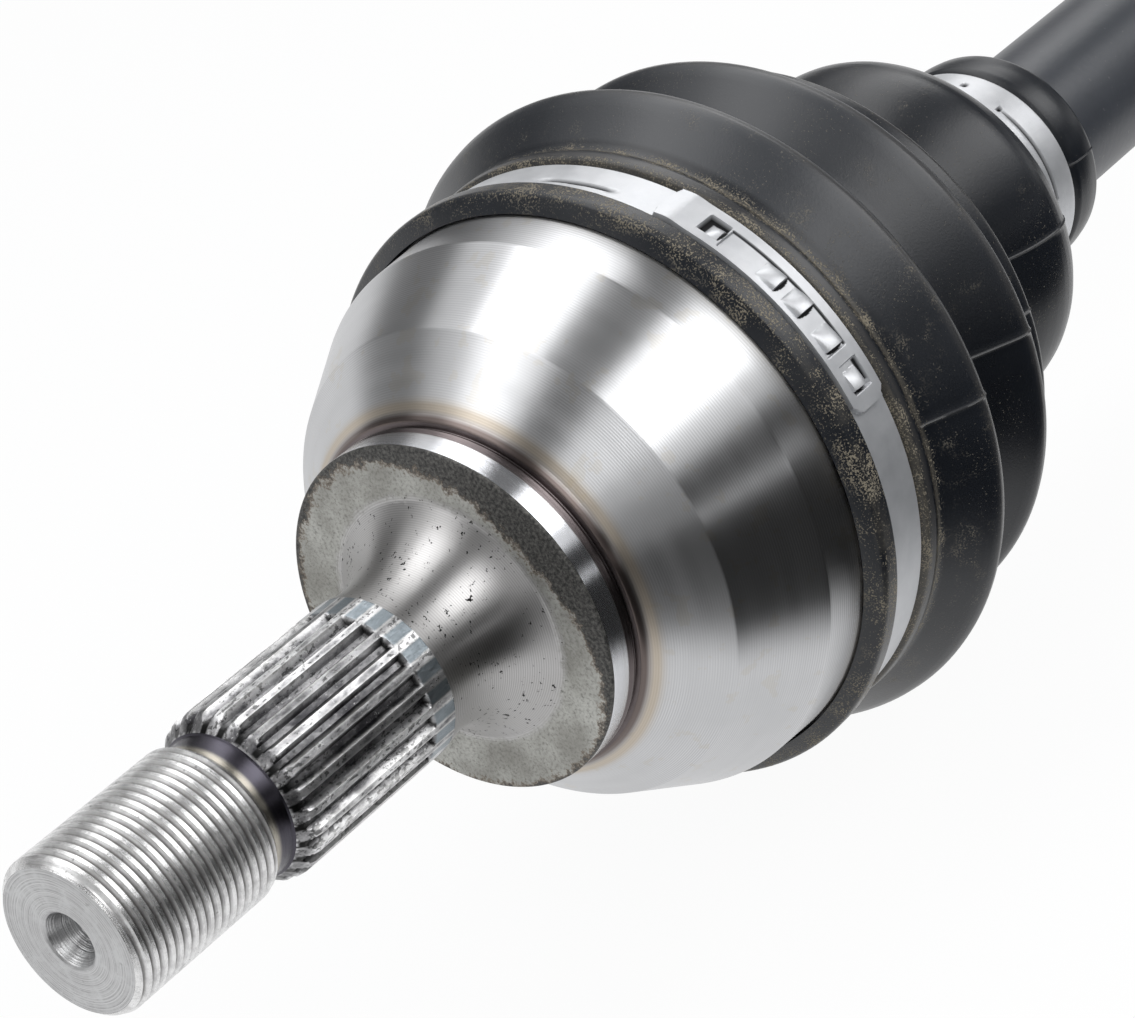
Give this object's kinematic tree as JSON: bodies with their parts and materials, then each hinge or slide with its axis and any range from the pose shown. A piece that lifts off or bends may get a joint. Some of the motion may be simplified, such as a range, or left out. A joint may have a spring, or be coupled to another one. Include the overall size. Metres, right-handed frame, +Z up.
{
  "type": "drive shaft",
  "caption": "Front drive shaft with a splined and threaded hub stub, fixed ball joint, ribbed rubber boots, solid bar and plunging tripod joint.",
  "frame": {"origin": "centre of the shoulder that seats against the wheel hub, where the seal journal begins", "axes": "+X along the shaft from the wheel to the gearbox, +Z up; both joints bend about axes parallel to Y"},
  "size_m": [0.6354, 0.106, 0.106],
  "materials": {
    "machined_steel": "turned",
    "hardened_steel": "ground",
    "ball_steel": "polished",
    "spring_steel": "blackened",
    "bar_paint": "satin",
    "boot_rubber": "satin",
    "clamp_steel": "bright"
  },
  "bodies": {
    "axle": {"axle_bar": "bar_paint", "outer_inner_race": "hardened_steel", "race_snap_ring": "spring_steel", "outer_boot_small_clamp": "clamp_steel", "tripod_spider": "hardened_steel", "spider_snap_ring": "spring_steel", "roller_washers": "hardened_steel", "trunnion_clips": "spring_steel", "inner_boot_small_clamp": "clamp_steel"},
    "outer_housing": {"outer_housing": "machined_steel", "outer_boot": "boot_rubber", "outer_boot_large_clamp": "clamp_steel"},
    "outer_cage": {"outer_cage": "hardened_steel"},
    "outer_ball_1": {"outer_ball_1": "ball_steel"},
    "outer_ball_2": {"outer_ball_2": "ball_steel"},
    "outer_ball_3": {"outer_ball_3": "ball_steel"},
    "outer_ball_4": {"outer_ball_4": "ball_steel"},
    "outer_ball_5": {"outer_ball_5": "ball_steel"},
    "outer_ball_6": {"outer_ball_6": "ball_steel"},
    "tripod_roller_1": {"tripod_roller_1": "hardened_steel", "roller_needles_1": "ball_steel"},
    "tripod_roller_2": {"tripod_roller_2": "hardened_steel", "roller_needles_2": "ball_steel"},
    "tripod_roller_3": {"tripod_roller_3": "hardened_steel", "roller_needles_3": "ball_steel"},
    "inner_housing": {"inner_housing": "machined_steel", "gearbox_snap_ring": "spring_steel", "inner_boot": "boot_rubber", "inner_boot_large_clamp": "clamp_steel"}
  },
  "joints": [
    {"name": "outer_articulation", "type": "hinge", "parent": "axle", "child": "outer_housing", "pos_m": [0.0442, 0, 0], "axis": [0, 1, 0], "range_deg": [-45, 45], "deforming": ["outer_boot"]},
    {"name": "outer_cage_turn", "type": "hinge", "parent": "axle", "child": "outer_cage", "pos_m": [0.0442, 0, 0], "axis": [0, 1, 0], "range_deg": [-22.6, 22.6]},
    {"name": "outer_ball_1_roll", "type": "hinge", "parent": "outer_housing", "child": "outer_ball_1", "pos_m": [0.0482, 0, 0], "axis": [0, -0.5, 0.866], "range_deg": [-11.76, 11.76]},
    {"name": "outer_ball_2_roll", "type": "hinge", "parent": "outer_housing", "child": "outer_ball_2", "pos_m": [0.0482, 0, 0], "axis": [0, -1, 0], "range_deg": [-22.6, 22.6]},
    {"name": "outer_ball_3_roll", "type": "hinge", "parent": "outer_housing", "child": "outer_ball_3", "pos_m": [0.0482, 0, 0], "axis": [0, -0.5, -0.866], "range_deg": [-11.76, 11.76]},
    {"name": "outer_ball_4_roll", "type": "hinge", "parent": "outer_housing", "child": "outer_ball_4", "pos_m": [0.0482, 0, 0], "axis": [0, 0.5, -0.866], "range_deg": [-11.76, 11.76]},
    {"name": "outer_ball_5_roll", "type": "hinge", "parent": "outer_housing", "child": "outer_ball_5", "pos_m": [0.0482, 0, 0], "axis": [0, 1, 0], "range_deg": [-22.6, 22.6]},
    {"name": "outer_ball_6_roll", "type": "hinge", "parent": "outer_housing", "child": "outer_ball_6", "pos_m": [0.0482, 0, 0], "axis": [0, 0.5, 0.866], "range_deg": [-11.76, 11.76]},
    {"name": "inner_articulation", "type": "hinge", "parent": "axle", "child": "tripod_roller_1", "pos_m": [0.4442, 0, 0], "axis": [0, 1, 0], "range_deg": [-16, 16], "deforming": ["inner_boot"]},
    {"name": "inner_plunge", "type": "slide", "parent": "tripod_roller_1", "child": "inner_housing", "axis": [1, 0, 0], "range_m": [-0.016, 0.016], "deforming": ["inner_boot"]},
    {"name": "tripod_roller_2_roll", "type": "hinge", "parent": "axle", "child": "tripod_roller_2", "pos_m": [0.4442, 0, 0], "axis": [0, -0.5, 0.866], "range_deg": [-63.4, 63.4]},
    {"name": "tripod_roller_3_roll", "type": "hinge", "parent": "axle", "child": "tripod_roller_3", "pos_m": [0.4442, 0, 0], "axis": [0, -0.5, -0.866], "range_deg": [-63.4, 63.4]}
  ],
  "couplings": [
    {"joint": "outer_cage_turn", "follows": "outer_articulation", "ratio": 0.5},
    {"joint": "outer_ball_1_roll", "follows": "outer_articulation", "ratio": 0.259},
    {"joint": "outer_ball_2_roll", "follows": "outer_articulation", "ratio": 0.5},
    {"joint": "outer_ball_3_roll", "follows": "outer_articulation", "ratio": 0.259},
    {"joint": "outer_ball_4_roll", "follows": "outer_articulation", "ratio": -0.259},
    {"joint": "outer_ball_5_roll", "follows": "outer_articulation", "ratio": -0.5},
    {"joint": "outer_ball_6_roll", "follows": "outer_articulation", "ratio": -0.259},
    {"joint": "tripod_roller_2_roll", "follows": "inner_plunge", "rad_per_m": 68.966},
    {"joint": "tripod_roller_3_roll", "follows": "inner_plunge", "rad_per_m": 68.966}
  ]
}
